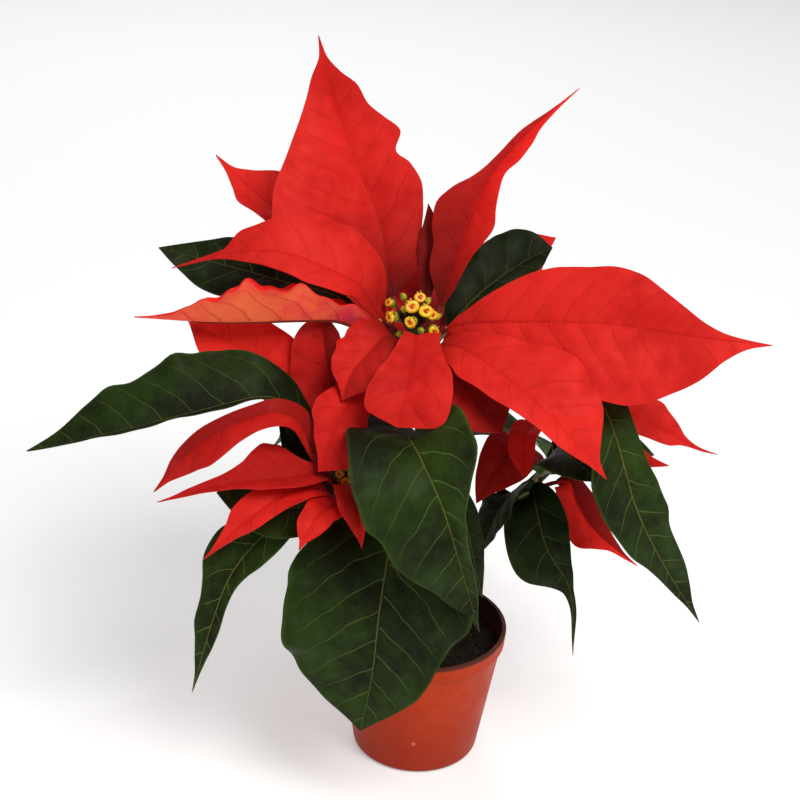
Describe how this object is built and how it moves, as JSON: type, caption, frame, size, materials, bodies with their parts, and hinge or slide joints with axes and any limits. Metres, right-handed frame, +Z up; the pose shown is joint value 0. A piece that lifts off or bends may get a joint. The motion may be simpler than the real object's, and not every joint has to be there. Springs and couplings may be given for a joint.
{
  "type": "potted poinsettia",
  "caption": "Potted poinsettia with branching stems, red bracts around small yellow flowers, dark green leaves, potting soil and a round tapered plastic pot that stands on its flat underside.",
  "frame": {"origin": "centre of the pot's flat underside", "axes": "X to the right of the front view, Y away from the viewer, Z up the pot; the underside faces -Z"},
  "size_m": [0.2993, 0.2224, 0.3263],
  "materials": {
    "terracotta_plastic": "smooth satin terracotta-coloured plastic",
    "potting_soil": null,
    "green_stem": "smooth green stem, half woody",
    "red_bract": null,
    "green_leaf": null,
    "yellow_flower": null
  },
  "bodies": {
    "root": {"pot": "terracotta_plastic", "soil": "potting_soil", "main_stem": "green_stem", "left_branch": "green_stem", "right_branch": "green_stem", "back_branch": "green_stem", "bract_top": "red_bract", "bract_left": "red_bract", "bract_top_right": "red_bract", "bract_centre": "red_bract", "bract_right": "red_bract", "bract_lower_right": "red_bract", "bract_front": "red_bract", "bract_under": "red_bract", "bract_lower_left": "red_bract", "bract_folded": "red_bract", "bract_far_left": "red_bract", "bract_far_right": "red_bract", "bract_hanging": "red_bract", "bract_left_high": "red_bract", "bract_left_upright": "red_bract", "bract_left_mid": "red_bract", "bract_left_low": "red_bract", "bract_left_down": "red_bract", "bract_left_front": "red_bract", "bract_left_front_right": "red_bract", "bract_right_down": "red_bract", "bract_right_far": "red_bract", "bract_right_behind": "red_bract", "bract_right_small": "red_bract", "bract_right_inner": "red_bract", "bract_back": "red_bract", "bract_back_right": "red_bract", "bract_back_left": "red_bract", "bract_back_low_left": "red_bract", "bract_back_low_right": "red_bract", "bract_back_high_left": "red_bract", "bract_back_high_right": "red_bract", "leaf_top_left": "green_leaf", "leaf_top_right": "green_leaf", "leaf_left": "green_leaf", "leaf_left_inner": "green_leaf", "leaf_left_under": "green_leaf", "leaf_lower_left": "green_leaf", "leaf_front_upper": "green_leaf", "leaf_front_lower": "green_leaf", "leaf_behind_front": "green_leaf", "leaf_right": "green_leaf", "leaf_lower_centre": "green_leaf", "leaf_lower_inner": "green_leaf", "leaf_right_behind": "green_leaf", "leaf_right_inner": "green_leaf", "leaf_back_left": "green_leaf", "leaf_back_right": "green_leaf", "leaf_back": "green_leaf", "flowers_main": "yellow_flower", "flowers_left": "yellow_flower", "flowers_right": "yellow_flower", "flowers_back": "yellow_flower"}
  },
  "joints": []
}
